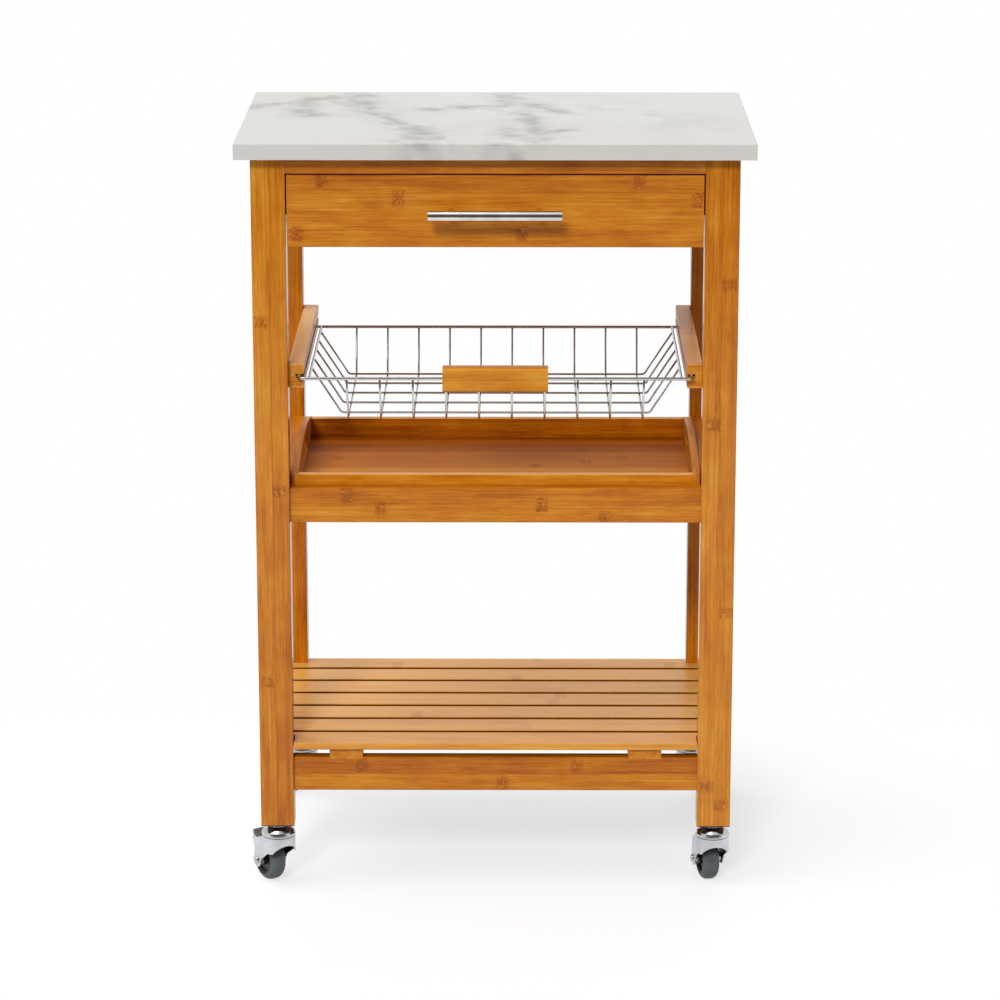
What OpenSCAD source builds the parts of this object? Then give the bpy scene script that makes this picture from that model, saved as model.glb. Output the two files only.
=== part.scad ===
// Rolling kitchen cart: a stone-look top on a bamboo frame with an inset drawer,
// a wire basket on grooved runners, a lift-out tray, a slatted shelf and four swivel casters.
// X runs to the right, Y to the back and Z up. The origin is on the floor, under the middle
// of the cart's outer box.

/* [Worktop] */
// Width of the top, left to right
top_w = 570; // [520:1:640]
// Depth of the top, front to back
top_d = 370; // [350:1:420]
// Height of the top's surface above the floor
top_h = 866; // [850:1:900]
// Thickness of the top
top_t = 18; // [16:1:26]
// Distance that the top reaches past the legs, all round
overhang = 17; // [10:1:24]
// Radius of the rounded edge along the top's upper rim
top_edge = 1.5; // [1:0.1:2.5]

/* [Legs and aprons] */
// Width of a front leg
front_leg_w = 38; // [34:1:46]
// Depth of every leg, front to back
leg_d = 30; // [28:1:34]
// Thickness of the rear legs, aprons and side rails
board_t = 18; // [17:1:22]
// Height of the aprons round the drawer
apron_h = 100; // [94:1:110]
// Height of the narrow rail over the drawer
top_rail_h = 18; // [16:1:20]
// Radius of the rounded long edges of the boards
board_edge = 1.2; // [0.6:0.1:2]

/* [Rails] */
// Thickness of the front and rear rails
rail_t = 15; // [14:1:16]
// Height of the front and rear rails
rail_h = 40; // [36:1:44]
// Distance that the rails stand back from the leg faces
rail_set = 5; // [3:0.5:6]
// Underside of the middle rails above the floor
mid_rail_z = 434; // [400:1:445]
// Height of the middle side rails
side_rail_h = 50; // [46:1:54]
// Underside of the low rails above the floor
low_rail_z = 117; // [112:1:130]

/* [Bottom shelf] */
// Number of full slats in front of the narrow rear slat
slat_n = 6; // [5:1:6]
// Width of a slat
slat_w = 43; // [40:1:44]
// Gap between two slats
slat_gap = 5; // [3:0.5:6]
// Width of the narrow rear slat
rear_slat_w = 36; // [32:1:38]
// Thickness of the slats
slat_t = 8; // [7:0.5:12]
// Distance that the slats stop short of the front legs' outer faces
slat_end = 4; // [2:1:8]
// Gap between a notched slat and a leg
notch_gap = 0.8; // [0.3:0.1:1.5]
// Width of a batten under the slats
batten_w = 38; // [30:1:44]
// Thickness of a batten
batten_t = 12; // [11:0.5:14]
// Middle of each batten from the middle of the cart
batten_x = 170; // [150:1:172]
// Depth that the battens are let into the low rails
batten_seat = 2; // [1:0.5:4]

/* [Drawer] */
// Height of the drawer's face
face_h = 80; // [74:1:82]
// Thickness of the drawer's face
face_t = 18; // [16:1:20]
// Gap round the drawer's face
face_gap = 1.5; // [1:0.1:2]
// Gap between a drawer side and the apron beside it
box_gap = 11; // [10:0.5:13]
// Thickness of the drawer's sides and back
box_t = 12; // [11:0.5:14]
// Height of the drawer's sides and back
box_h = 60; // [54:1:62]
// Gap between the drawer's back and the rear apron
box_rear_gap = 10; // [4:1:40]
// Height of the sides' lower edge over the face's lower edge
box_lift = 8; // [6:0.5:9]
// Thickness of the drawer's bottom panel
bottom_t = 4; // [3:0.5:5]
// Depth that the bottom panel is let into the sides
bottom_let = 5; // [4:0.5:6]
// Height of the bottom panel over the sides' lower edge
bottom_up = 6; // [5:0.5:8]
// Height of the wooden strips that the drawer runs on
strip_h = 14; // [12:1:16]
// Distance that a strip reaches into the groove of a drawer side
strip_in = 5; // [4:0.5:6]
// Height of a strip's underside over the drawer sides' lower edge
strip_up = 24; // [20:1:26]

/* [Bar handle] */
// Diameter of the bar
bar_d = 12; // [10:0.5:12]
// Length of the bar
bar_l = 146; // [130:1:170]
// Distance from the drawer's face to the bar's axis
bar_reach = 29; // [26:1:33]
// Diameter of the two posts
post_d = 8; // [6.5:0.5:8]
// Distance between the two posts
post_pitch = 96; // [80:1:112]

/* [Basket runners] */
// Width of a grooved runner
runner_w = 17; // [15:1:19]
// Height of a grooved runner
runner_h = 27; // [25:1:31]
// Top of the runners above the floor
runner_top = 614; // [603:1:625]
// Distance from the front legs' faces back to the runners' front ends
runner_set = 13; // [13:0.5:15]
// Depth of the groove
groove_d = 9; // [8:0.5:10]
// Height of the groove
groove_h = 4.8; // [4.6:0.1:5.6]

/* [Basket] */
// Diameter of the wire of the basket's rim
rim_wire = 3.6; // [3.4:0.1:4]
// Diameter of the side wires inside the rim
side_wire = 3; // [2.6:0.1:3.4]
// Diameter of the mesh wires
mesh_wire = 2.4; // [2:0.1:2.8]
// Distance from the front legs' faces back to the rim's front wire
rim_set = 2; // [1:0.5:2.5]
// Depth of the rim, middle of front wire to middle of rear wire
rim_d = 270; // [250:1:285]
// Radius of the rim's corners at the wire's middle
rim_r = 9; // [7:0.5:10]
// Distance from the rim's side run in to the side wire
side_in = 13; // [11:0.5:15]
// Depth of the basket from the rim down to its floor
basket_h = 53.5; // [45:0.5:55]
// Slope of the front, measured back from the rim
front_slope = 33; // [26:1:38]
// Slope of the rear, measured forward from the rim
rear_slope = 17; // [12:1:22]
// Slope of each side, measured in from the side wire
side_slope = 33; // [26:1:38]
// Number of wires that run front to back
cross_n = 10; // [8:1:10]
// Distance between them
cross_pitch = 36.6; // [33:0.1:37]
// Number of wires that run left to right
long_n = 5; // [4:1:5]
// Distance between them
long_pitch = 48; // [44:0.5:49]
// Width of the wooden grip
grip_w = 117; // [100:1:130]
// Height of the wooden grip
grip_h = 28; // [24:1:30]
// Thickness of the wooden grip
grip_t = 18; // [16:1:20]

/* [Tray] */
// Height of the tray's straight walls
tray_h = 40; // [36:1:44]
// Height of the straight walls over the front rail
tray_rise = 12; // [10:1:14]
// Gap between the tray and the rear rail
tray_rear_gap = 21; // [18:1:36]
// Gap between the tray and the legs or rails beside it
tray_gap = 1; // [0.6:0.1:2]
// Thickness of the front and rear walls
tray_end_t = 10; // [8:0.5:12]
// Thickness of the arched sides
tray_side_t = 8; // [7:0.5:10]
// Rise of the arched sides in the middle
arch_rise = 15; // [10:1:18]
// Thickness of the tray's floor
tray_floor_t = 6; // [4:0.5:8]
// Depth that the floor is let into the walls
tray_let = 4; // [3:0.5:5]
// Height of the floor's underside over the walls' lower edge
tray_floor_up = 11; // [8:0.5:12]
// Length of a hand hole
hole_l = 95; // [80:1:110]
// Height of a hand hole
hole_h = 20; // [16:1:22]
// Wood left over a hand hole in the middle of the arch
hole_top = 12; // [10:0.5:14]
// Width of the cleats that carry the tray
cleat_w = 12; // [10:1:14]
// Gap between the tray and its cleats at rest
rest_gap = 0.3; // [0.2:0.1:0.5]
// Width and height of the cleats under the top
top_cleat = 15; // [14:1:17]

/* [Fasteners] */
// Diameter of the frame bolts
bolt_d = 6; // [5:0.5:6]
// Length of a frame bolt inside the front rails, past the leg
bolt_in = 34; // [30:1:38]
// Depth from a leg's outer face down to a bolt's sunk head
head_sink = 0.4; // [0.2:0.1:1]
// Diameter of a bolt's head
bolt_head_d = 12; // [11:0.5:14]
// Height of a bolt's head
bolt_head_h = 3.5; // [3:0.5:4]
// Width across the corners of a bolt's hexagon socket
hex_d = 4.6; // [4:0.1:5]
// Diameter of the barrel nuts
nut_d = 10; // [9:0.5:10]
// Diameter of the dowels
dowel_d = 8; // [7:0.5:8]
// Length of a dowel on each side of its joint
dowel_in = 12; // [10:0.5:12]
// Diameter of a wood screw's shank
screw_d = 3.6; // [3:0.1:4]
// Diameter of a wood screw's head
screw_head = 7; // [6:0.1:7.4]
// Clearance between a fastener and its hole
fix_gap = 0.1; // [0.08:0.01:0.15]

/* [Casters] */
// Height from the floor to the underside of the legs
caster_h = 75; // [74:0.5:78]
// Diameter of a wheel
wheel_d = 50; // [48:0.5:51]
// Width of a wheel
wheel_w = 20; // [18:0.5:21]
// Radius of the rounded shoulders of the tyre
tread_r = 8; // [6:0.5:8.5]
// Thickness of the tyre on its hub
tyre_t = 7; // [6:0.5:9]
// Distance from the swivel axis to the wheel's axle
trail = 22; // [20:0.5:24]
// Diameter of the axle
axle_d = 6; // [5:0.5:7]
// Outer diameter of the fork's round crown
crown_d = 38; // [36:0.5:39]
// Thickness of the fork's sheet metal
sheet_t = 2; // [1.6:0.1:2.4]
// Height of the fork's round skirt
skirt_h = 19; // [18:0.5:20]
// Half distance between the fork's cheeks at the axle, inside
cheek_in = 15; // [14.6:0.1:15.5]
// Diameter of the raceway cup on each stem
cup_d = 39.5; // [38:0.5:42]
// Diameter of the threaded stems
stem_d = 8; // [7:0.5:8.5]
// Length of a stem inside its leg
stem_l = 28; // [22:1:32]
// Diameter of the kingpin that the fork turns on
king_d = 8; // [7:0.5:9]
// Radial running clearance of the kingpins and axles
run_gap = 0.05; // [0.03:0.01:0.08]
// Angles of the four forks: front left, front right, rear left, rear right
fork_yaw = [123, 101, 148, 30];
// Reach of a brake pedal from the axle
pedal_reach = 29; // [28.5:0.5:33]

/* [Hidden] */
$fn = 48;

LEFT = -1;
RIGHT = 1;
bamboo = "#d9a05a";
bamboo_dark = "#c8893f";
metal = "#c9ccd0";
far = 1000;

// Main planes of the frame
out_x = top_w / 2 - overhang;
in_x = out_x - front_leg_w;
board_x = in_x + board_t / 2;
bar_front = bar_reach + bar_d / 2 - overhang;
y_front = -(top_d - bar_front) / 2;
y_back = y_front + top_d;
face_y = y_front + overhang;
rear_y = y_back - overhang;
front_leg_back = face_y + leg_d;
rear_leg_front = rear_y - leg_d;
side_l = rear_leg_front - front_leg_back;
under_top = top_h - top_t;
apron_z = under_top - apron_h;
front_leg_x = in_x + front_leg_w / 2;
front_leg_y = face_y + leg_d / 2;
rear_leg_y = rear_y - leg_d / 2;

// Rails
front_rail_y = face_y + rail_set;
rear_rail_y = rear_y - rail_set - rail_t;
mid_rail_top = mid_rail_z + rail_h;
low_rail_top = low_rail_z + rail_h;

// Shelf
batten_z = low_rail_top - batten_seat;
slat_z = batten_z + batten_t;
slat_pitch = slat_w + slat_gap;
slat_half = out_x - slat_end;
batten_l = rear_rail_y + rail_t - front_rail_y;
function slat_y(i) = face_y + i * slat_pitch;
function slat_width(i) = i < slat_n ? slat_w : rear_slat_w;

// Drawer
face_x = in_x - face_gap;
face_top = under_top - top_rail_h - face_gap;
face_z = face_top - face_h;
box_x = in_x - box_gap;
box_y = face_y + face_t;
box_z = face_z + box_lift;
panel_z = box_z + bottom_up;
strip_z = box_z + strip_up;
strip_w = box_gap + strip_in;
strip_y = front_leg_back - leg_d / 4;
strip_l = rear_leg_front + leg_d / 4 - strip_y;
box_l = rear_y - board_t - box_rear_gap - box_y;
groove_gap = 0.5;
bar_z = face_z + face_h / 2;

// Basket
runner_z = runner_top - runner_h;
runner_y = face_y + runner_set;
runner_l = rear_y - 4 - runner_y;
groove_z = runner_z + (runner_h - groove_h) / 2;
rim_x = in_x - runner_w + groove_d - 0.8 - rim_wire / 2;
rim_z = groove_z + rest_gap + rim_wire / 2;
rim_y0 = face_y + rim_set;
rim_y1 = rim_y0 + rim_d;
side_x = rim_x - side_in;
floor_z = rim_z - basket_h;
weld = 0.25;
cross_y0 = rim_y0 + front_slope;
cross_y1 = rim_y1 - rear_slope;
long_y0 = (cross_y0 + cross_y1 - (long_n - 1) * long_pitch) / 2 + 7;
long_z = floor_z + mesh_wire - weld;
bend_cut = 2.5;

// Tray
tray_z = mid_rail_top + tray_rise - tray_h;
tray_x = in_x - tray_gap;
tray_y = front_rail_y + rail_t + tray_gap;
tray_d = rear_rail_y - tray_rear_gap - tray_y;
tray_mid_y = tray_y + tray_d / 2;
arch_r = (pow(tray_d / 2, 2) + pow(arch_rise, 2)) / (2 * arch_rise);
arch_z = tray_z + tray_h + arch_rise - arch_r;
hole_z = tray_z + tray_h + arch_rise - hole_top - hole_h / 2;
cleat_h = tray_z - rest_gap - mid_rail_z;

// Casters
wheel_r = wheel_d / 2;
crown_r = crown_d / 2;
crown_z = caster_h - 15;
skirt_z = crown_z - skirt_h;
cup_r = cup_d / 2;
cup_z = crown_z + 0.3;
collar_r = 9;
cheek_top_in = crown_r - sheet_t;
cheek_near = -6;
cheek_out = sqrt(pow(crown_r, 2) - pow(cheek_near, 2));
cheek_far = trail + 9;
hub_half = wheel_w / 2 + 1.2;
arm_in = hub_half + 0.4;
arm_t = 1.5;
mouth_r = crown_r - sheet_t - 0.5;
mouth_drop = 9;
mouth_z = crown_z - mouth_drop - mouth_r;
boss_r = 8;
king_r = king_d / 2;
king_head_t = 1.6;
king_head_z = crown_z - sheet_t - 0.3 - king_head_t;
arm_w = 8;
pedal_rise = 60;
pedal_tilt = 12;
pedal_t = 2;
pedal_l = 8;
pedal_drop = 6.5;
arm_boss = 0.15;

function caster_x(i) = [-front_leg_x, front_leg_x, -board_x, board_x][i];
function caster_y(i) = i < 2 ? front_leg_y : rear_leg_y;
function has_brake(i) = i == 0 || i == 3;

// Helpers

// Box from its low corner
module block(low, size) translate(low) cube(size);

// Board along Z with rounded long edges, from its low corner
module post(low, w, d, h, r = board_edge)
  translate(low) linear_extrude(h) round_rect(w, d, r);

// Board along X with rounded long edges, centred on X = 0
module rail_x(y, z, l, t, h, r = board_edge)
  translate([-l / 2, y, z]) rotate([90, 0, 90]) linear_extrude(l) round_rect(t, h, r);

// Board along Y with rounded long edges, from its low corner
module rail_y(x, y, z, w, l, h, r = board_edge)
  translate([x, y + l, z]) rotate([90, 0, 0]) linear_extrude(l) round_rect(w, h, r);

// Rectangle with round corners, from its low corner
module round_rect(w, h, r) {
  translate([r, 0]) square([w - 2 * r, h]);
  translate([0, r]) square([w, h - 2 * r]);
  for (x = [r, w - r], y = [r, h - r]) translate([x, y]) circle(r, $fn = 24);
}

// Mirrors its children to one side of the cart
module on_side(side) {
  if (side == LEFT) mirror([1, 0, 0]) children();
  else children();
}

// Cylinder along X, Y or any axis
module along_x(p, l, d) translate(p) rotate([0, 90, 0]) cylinder(h = l, d = d);
module along_y(p, l, d) translate(p) rotate([-90, 0, 0]) cylinder(h = l, d = d);
module along_z(p, l, d) translate(p) cylinder(h = l, d = d);

// Countersunk wood screw that points along +Z, with its head's face at z = 0
module screw(l, grow = 0, d = screw_d, head = screw_head) {
  sink = (head - d) / 2;
  cylinder(h = sink + grow, d1 = head + 2 * grow, d2 = d + 2 * grow);
  cylinder(h = l + grow, d = d + 2 * grow);
}

// Round wire through points in the XY plane: every corner is cut, and the straight runs end inside a
// small ball on each bend
function unit2(v) = v / norm(v);
function cut_corner(a, b, c, cut) = [b - cut * unit2(b - a), b + cut * unit2(c - b)];
function cut_corners(p, cut) = [for (i = [0:len(p) - 1])
  each (i == 0 || i == len(p) - 1 ? [p[i]] : cut_corner(p[i - 1], p[i], p[i + 1], cut))];
module bent_wire(points, d, cut) {
  p = cut_corners(points, cut);
  last = len(p) - 2;
  for (i = [0:last]) {
    run = p[i + 1] - p[i];
    from = i == 0 ? 0 : d * 0.2;
    to = norm(run) - (i == last ? 0 : d * 0.2);
    translate([p[i][0], p[i][1], 0]) rotate([0, 0, atan2(run[1], run[0])]) rotate([0, 90, 0])
      translate([0, 0, from]) cylinder(h = to - from, d = d, $fn = 24);
  }
  for (i = [1:last]) translate([p[i][0], p[i][1], 0]) sphere(d = d * 1.12, $fn = 24);
}

// Places its children at caster i, with local X towards the axle and local Z up from the floor
module at_caster(i) translate([caster_x(i), caster_y(i), 0]) rotate([0, 0, fork_yaw[i]]) children();

// Places its children on the axle of a caster, with local Z along the axle
module on_axle() translate([trail, 0, wheel_r]) rotate([90, 0, 0]) children();

// Frame bolts: each is [side, x of the leg's outer face, y, z, length under the head]
front_bolt_l = front_leg_w + bolt_in;
rear_bolt_l = board_t + bolt_in;
front_bolt_y = front_rail_y + rail_t / 2;
rear_bolt_y = rear_rail_y + rail_t / 2;
apron_bolt_y = rear_y - board_t / 2;
bolt_edge = 27;
function side_bolts(s) = [
  [s, out_x, face_y + board_t / 2, under_top - top_rail_h / 2, front_bolt_l],
  [s, out_x, front_bolt_y, mid_rail_z + rail_h / 2, front_bolt_l],
  [s, out_x, front_bolt_y, low_rail_z + rail_h / 2, front_bolt_l],
  [s, in_x + board_t, apron_bolt_y, apron_z + bolt_edge, rear_bolt_l],
  [s, in_x + board_t, apron_bolt_y, under_top - bolt_edge, rear_bolt_l],
  [s, in_x + board_t, rear_bolt_y, mid_rail_z + rail_h / 2, rear_bolt_l],
  [s, in_x + board_t, rear_bolt_y, low_rail_z + rail_h / 2, rear_bolt_l]
];
bolts = concat(side_bolts(LEFT), side_bolts(RIGHT));
nut_x = in_x - bolt_in + 8;
nut_l = 11;
dowel_edge = 14;

module bolt_hole(b) on_side(b[0]) {
  along_x([b[1] - b[4] - 1, b[2], b[3]], b[4] + 2, bolt_d + 4 * fix_gap);
  along_x([b[1] - head_sink - bolt_head_h, b[2], b[3]], far, bolt_head_d + 2 * fix_gap);
}
// The nuts' holes open to the inside of the cart
module nut_hole(b) on_side(b[0])
  along_y([nut_x, b[2] - nut_l / 2 - fix_gap - (b[2] < 0 ? 0 : far), b[3]], nut_l + 2 * fix_gap + far,
    nut_d + 2 * fix_gap);
module bolt_cuts() for (b = bolts) bolt_hole(b);
module nut_cuts(front) for (b = bolts) if ((b[2] < 0) == front) nut_hole(b);

// Dowels: each is [side, y of the joint, z]
function dowel_rows(s) = [for (y = [front_leg_back, rear_leg_front])
  for (z = [apron_z + dowel_edge, under_top - dowel_edge,
            mid_rail_z + dowel_edge, mid_rail_z + side_rail_h - dowel_edge]) [s, y, z]];
dowel_list = concat(dowel_rows(LEFT), dowel_rows(RIGHT));
module dowel(e, grow = 0) on_side(e[0])
  along_y([board_x, e[1] - dowel_in - grow, e[2]], 2 * dowel_in + 2 * grow, dowel_d + 2 * grow);
module dowel_cuts() for (e = dowel_list) dowel(e, fix_gap);

// Wood screws: each is [side, x, y, z, turn, length]; turn 0 points to the side, 1 up and 2 down
screw_into = 13;
cleat_len = side_l * 0.8;
cleat_y = front_leg_back + side_l * 0.1;
strip_end_x = in_x - strip_w;
runner_end_x = in_x - runner_w;
front_grip_y = (runner_y + front_leg_back) / 2;
rear_grip_y = rear_leg_front + leg_d / 2;
groove_edge = (runner_h - groove_h) / 4;
function side_screws(s) = concat(
  [for (k = [0.12, 0.5, 0.88]) [s, strip_end_x, front_leg_back + side_l * k, strip_z + strip_h / 2, 0,
    strip_w + screw_into]],
  [for (y = [front_grip_y, rear_grip_y], z = [runner_z + groove_edge, runner_top - groove_edge])
    [s, runner_end_x, y, z, 0, runner_w + screw_into]],
  [for (k = [0.15, 0.5, 0.85]) [s, in_x - cleat_w, cleat_y + cleat_len * k, mid_rail_z + cleat_h / 2, 0,
    cleat_w + screw_into]],
  [for (k = [0.2, 0.8]) [s, in_x - top_cleat, cleat_y + cleat_len * k, under_top - top_cleat / 2, 0,
    top_cleat + screw_into]],
  [for (k = [0.1, 0.7]) [s, in_x - top_cleat / 2, cleat_y + cleat_len * k, under_top - top_cleat, 1,
    top_cleat + top_t * 0.65]],
  [for (i = [0:slat_n]) [s, batten_x, slat_y(i) + slat_width(i) * 0.55, batten_z, 1,
    batten_t + slat_t * 0.6]],
  [for (y = [front_bolt_y, rear_bolt_y]) [s, batten_x - batten_w / 4, y, slat_z, 2,
    batten_t + screw_into]]
);
wood_screw_list = concat(side_screws(LEFT), side_screws(RIGHT),
  [for (s = [LEFT, RIGHT]) [s, in_x / 2, face_y + board_t / 2, under_top - top_rail_h, 1,
    top_rail_h + top_t * 0.65]]);
module wood_screw(e, grow = 0) on_side(e[0]) translate([e[1], e[2], e[3]])
  rotate(e[4] == 0 ? [0, 90, 0] : e[4] == 1 ? [0, 0, 0] : [180, 0, 0]) screw(e[5], grow);
module screw_cuts(kinds) for (e = wood_screw_list) if (kinds == e[4]) wood_screw(e, fix_gap);

// Worktop

module worktop() color("#e6e3de") difference() {
  translate([-top_w / 2, y_front, under_top]) union() {
    cube([top_w, top_d, top_t - top_edge]);
    translate([top_edge, top_edge, 0]) cube([top_w - 2 * top_edge, top_d - 2 * top_edge, top_t]);
    for (y = [top_edge, top_d - top_edge])
      along_x([top_edge, y, top_t - top_edge], top_w - 2 * top_edge, 2 * top_edge);
    for (x = [top_edge, top_w - top_edge])
      along_y([x, top_edge, top_t - top_edge], top_d - 2 * top_edge, 2 * top_edge);
    for (x = [top_edge, top_w - top_edge], y = [top_edge, top_d - top_edge])
      translate([x, y, top_t - top_edge]) sphere(top_edge);
  }
  screw_cuts(1);
}

// Legs

module front_leg(side) color(bamboo) difference() {
  on_side(side) post([in_x, face_y, caster_h], front_leg_w, leg_d, under_top - caster_h);
  bolt_cuts();
  dowel_cuts();
  screw_cuts(0);
  on_side(side) along_z([front_leg_x, front_leg_y, caster_h - 1], stem_l + 2, stem_d + 2 * fix_gap);
}

module rear_leg(side) color(bamboo) difference() {
  on_side(side) post([in_x, rear_leg_front, caster_h], board_t, leg_d, under_top - caster_h);
  bolt_cuts();
  dowel_cuts();
  screw_cuts(0);
  on_side(side) along_z([board_x, rear_leg_y, caster_h - 1], stem_l + 2, stem_d + 2 * fix_gap);
}

// Upper frame

module top_front_rail() color(bamboo) difference() {
  rail_x(face_y, under_top - top_rail_h, 2 * in_x, board_t, top_rail_h);
  bolt_cuts();
  nut_cuts(true);
  screw_cuts(1);
}

module rear_apron() color(bamboo) difference() {
  rail_x(rear_y - board_t, apron_z, 2 * in_x, board_t, apron_h);
  bolt_cuts();
  nut_cuts(false);
}

module side_apron(side) color(bamboo) difference() {
  on_side(side) rail_y(in_x, front_leg_back, apron_z, board_t, side_l, apron_h);
  dowel_cuts();
  screw_cuts(0);
}

// Rails

module front_rail(z) difference() {
  rail_x(front_rail_y, z, 2 * in_x, rail_t, rail_h);
  bolt_cuts();
  nut_cuts(true);
}

module rear_rail(z) difference() {
  rail_x(rear_rail_y, z, 2 * in_x, rail_t, rail_h);
  bolt_cuts();
  nut_cuts(false);
}

module batten_notches() for (s = [LEFT, RIGHT])
  block([s * batten_x - batten_w / 2 - fix_gap, front_rail_y - 1, batten_z],
    [batten_w + 2 * fix_gap, batten_l + 2, far]);

module mid_front_rail() color(bamboo_dark) front_rail(mid_rail_z);
module mid_rear_rail() color(bamboo_dark) rear_rail(mid_rail_z);
module low_front_rail() color(bamboo_dark) difference() {
  front_rail(low_rail_z);
  batten_notches();
  screw_cuts(2);
}
module low_rear_rail() color(bamboo_dark) difference() {
  rear_rail(low_rail_z);
  batten_notches();
  screw_cuts(2);
}

module mid_side_rail(side) color(bamboo_dark) difference() {
  on_side(side) rail_y(in_x, front_leg_back, mid_rail_z, board_t, side_l, side_rail_h);
  dowel_cuts();
  screw_cuts(0);
}

// Cleats: two under the top and two under the tray
module wood_cleats() color(bamboo_dark) difference() {
  for (s = [LEFT, RIGHT]) on_side(s) {
    block([in_x - top_cleat, cleat_y, under_top - top_cleat], [top_cleat, cleat_len, top_cleat]);
    block([in_x - cleat_w, cleat_y, mid_rail_z], [cleat_w, cleat_len, cleat_h]);
  }
  screw_cuts(0);
  screw_cuts(1);
}

// Bottom shelf

module shelf_battens() color(bamboo_dark) difference() {
  for (s = [LEFT, RIGHT])
    block([s * batten_x - batten_w / 2, front_rail_y, batten_z], [batten_w, batten_l, batten_t]);
  screw_cuts(1);
  screw_cuts(2);
}

module shelf_slats() color(bamboo) difference() {
  for (i = [0:slat_n]) rail_x(slat_y(i), slat_z, 2 * slat_half, slat_width(i), slat_t);
  for (s = [LEFT, RIGHT]) on_side(s) {
    block([in_x - notch_gap, face_y - 1, 0], [far, leg_d + notch_gap + 1, far]);
    block([in_x - notch_gap, rear_leg_front - notch_gap, 0], [far, far, far]);
  }
  screw_cuts(1);
}

// Runners

module drawer_strip(side) color(bamboo_dark) difference() {
  on_side(side) block([strip_end_x, strip_y, strip_z], [strip_w, strip_l, strip_h]);
  screw_cuts(0);
}

module basket_runner(side) color(bamboo) difference() {
  on_side(side) rail_y(runner_end_x, runner_y, runner_z, runner_w, runner_l, runner_h);
  on_side(side) block([runner_end_x - 1, runner_y - 1, groove_z], [groove_d + 1, far, groove_h]);
  screw_cuts(0);
}

// Fasteners

module rail_bolts() color(metal) for (b = bolts) on_side(b[0])
  translate([b[1] - head_sink - bolt_head_h, b[2], b[3]]) rotate([0, 90, 0]) difference() {
    union() {
      translate([0, 0, head_sink + bolt_head_h - b[4]])
        cylinder(h = b[4] - head_sink - bolt_head_h / 2, d = bolt_d);
      cylinder(h = bolt_head_h, d = bolt_head_d);
    }
    translate([0, 0, bolt_head_h / 2]) cylinder(h = far, d = hex_d, $fn = 6);
  }

module barrel_nuts() color(metal) for (b = bolts) difference() {
  on_side(b[0]) along_y([nut_x, b[2] - nut_l / 2, b[3]], nut_l, nut_d);
  on_side(b[0]) along_x([0, b[2], b[3]], far, bolt_d + 2 * run_gap);
}

module dowels() color("#c79a5b") for (e = dowel_list) dowel(e);

module wood_screws() color(metal) for (e = wood_screw_list) wood_screw(e);

// Raceway cup with its threaded stem above and its kingpin below, turned as one piece
module caster_cup(i) at_caster(i) rotate_extrude() polygon([
  [0, caster_h + stem_l], [stem_d / 2, caster_h + stem_l], [stem_d / 2, caster_h],
  [collar_r, caster_h], [collar_r, caster_h - 1.6], [collar_r - 2, caster_h - 2.2],
  [collar_r - 2, caster_h - 3.4], [collar_r + 2, caster_h - 4],
  [cup_r - 5, caster_h - 6.2], [cup_r - 1.6, caster_h - 8.8], [cup_r - 0.3, caster_h - 11],
  [cup_r, caster_h - 12.6], [cup_r - 0.4, caster_h - 14], [cup_r - 1.6, cup_z],
  [king_r, cup_z], [king_r, king_head_z + king_head_t], [king_r + 3, king_head_z + king_head_t],
  [king_r + 3, king_head_z + 0.6], [king_r + 2, king_head_z], [0, king_head_z]]);

module caster_cups() color(metal) for (i = [0:3]) caster_cup(i);

// Drawer

module box_panel(grow) block([-box_x + box_t - bottom_let - grow, box_y - bottom_let - grow, panel_z - grow],
  [2 * (box_x - box_t + bottom_let + grow), box_l - box_t + 2 * (bottom_let + grow), bottom_t + 2 * grow]);

module bar_screw(s, grow) translate([s * post_pitch / 2, box_y, bar_z]) rotate([90, 0, 0]) {
  translate([0, 0, -2.5 - grow]) cylinder(h = 2.5 + grow, d = 8 + 2 * grow);
  cylinder(h = face_t + 9 + grow, d = 4 + 2 * grow);
}

module drawer_face() color(bamboo) difference() {
  rail_x(face_y, face_z, 2 * face_x, face_t, face_h);
  box_panel(fix_gap);
  for (s = [LEFT, RIGHT]) bar_screw(s, fix_gap);
}

// Drawer box screws: through each side into the back
function box_screw_list() = [for (s = [LEFT, RIGHT], k = [0.25, 0.75]) [s, box_z + box_h * k]];
module box_screw(e, grow) on_side(e[0])
  translate([box_x, box_y + box_l - box_t / 2, e[1]]) rotate([0, -90, 0]) screw(box_t + screw_into, grow);
module box_screw_cuts() for (e = box_screw_list()) box_screw(e, fix_gap);

module drawer_side(side) color(bamboo_dark) difference() {
  on_side(side) block([box_x - box_t, box_y, box_z], [box_t, box_l, box_h]);
  on_side(side) block([box_x - strip_in - groove_gap, box_y - 1, strip_z - groove_gap],
    [strip_in + groove_gap + 1, box_l + 2, strip_h + rest_gap + groove_gap]);
  box_panel(fix_gap);
  box_screw_cuts();
}

module drawer_back() color(bamboo_dark) difference() {
  block([-box_x + box_t, box_y + box_l - box_t, box_z], [2 * (box_x - box_t), box_t, box_h]);
  box_panel(fix_gap);
  box_screw_cuts();
}

module drawer_bottom() color("#d6ab70") box_panel(0);

module bar_handle() color(metal) difference() {
  union() {
    translate([-bar_l / 2, face_y - bar_reach, bar_z]) rotate([0, 90, 0]) cylinder(h = bar_l, d = bar_d);
    for (s = [LEFT, RIGHT])
      along_y([s * post_pitch / 2, face_y - bar_reach, bar_z], bar_reach, post_d);
  }
  for (s = [LEFT, RIGHT]) bar_screw(s, run_gap);
}

module drawer_screws() color(metal) {
  for (s = [LEFT, RIGHT]) bar_screw(s, 0);
  for (e = box_screw_list()) box_screw(e, 0);
}

// Basket

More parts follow.
